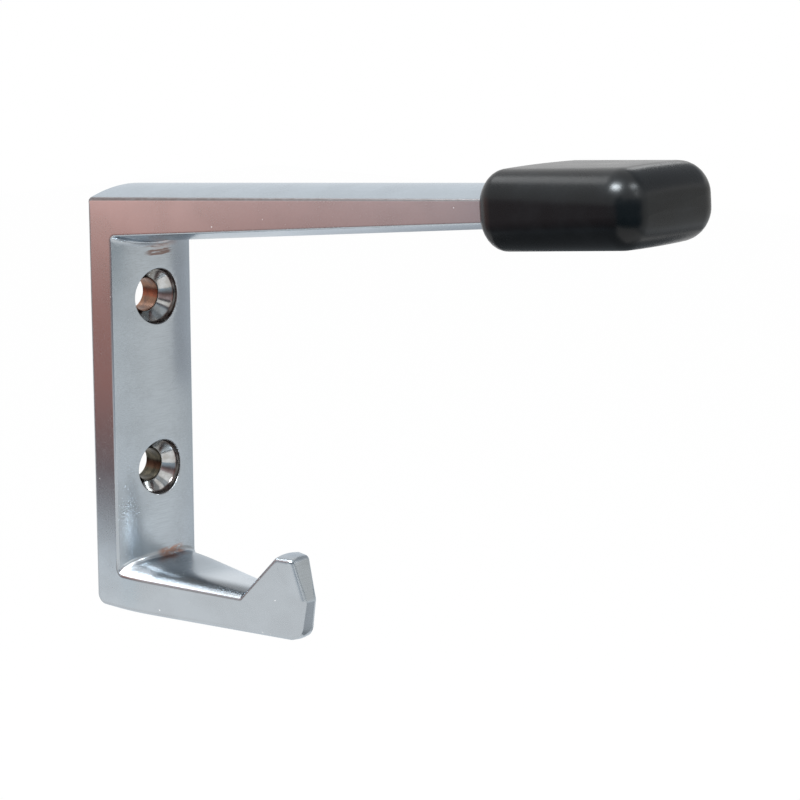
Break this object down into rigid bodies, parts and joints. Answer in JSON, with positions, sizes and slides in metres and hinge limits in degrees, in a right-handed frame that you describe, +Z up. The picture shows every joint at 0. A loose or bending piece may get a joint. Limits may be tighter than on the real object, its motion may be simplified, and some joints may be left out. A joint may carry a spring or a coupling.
{
  "type": "wall hook",
  "caption": "Wall-mounted hat and coat hook: a bowed plate with a long buffered upper arm and a short upturned lower hook.",
  "frame": {"origin": "on the wall face of the plate, midway between the two screw holes", "axes": "+X across the width, +Y into the wall, so the hook stands out towards -Y, and +Z up along the line of the screw holes"},
  "size_m": [0.026, 0.1232, 0.091],
  "materials": {
    "satin_chrome": "satin chrome plate on a smooth die casting",
    "black_rubber": "moulded rubber with a soft satin sheen"
  },
  "bodies": {
    "hook": {"hook_body": "satin_chrome"},
    "buffer": {"buffer": "black_rubber"}
  },
  "joints": [
    {"name": "buffer_pull", "type": "slide", "parent": "hook", "child": "buffer", "axis": [0, -0.9965, 0.0837], "range_m": [0, 0.024]}
  ]
}
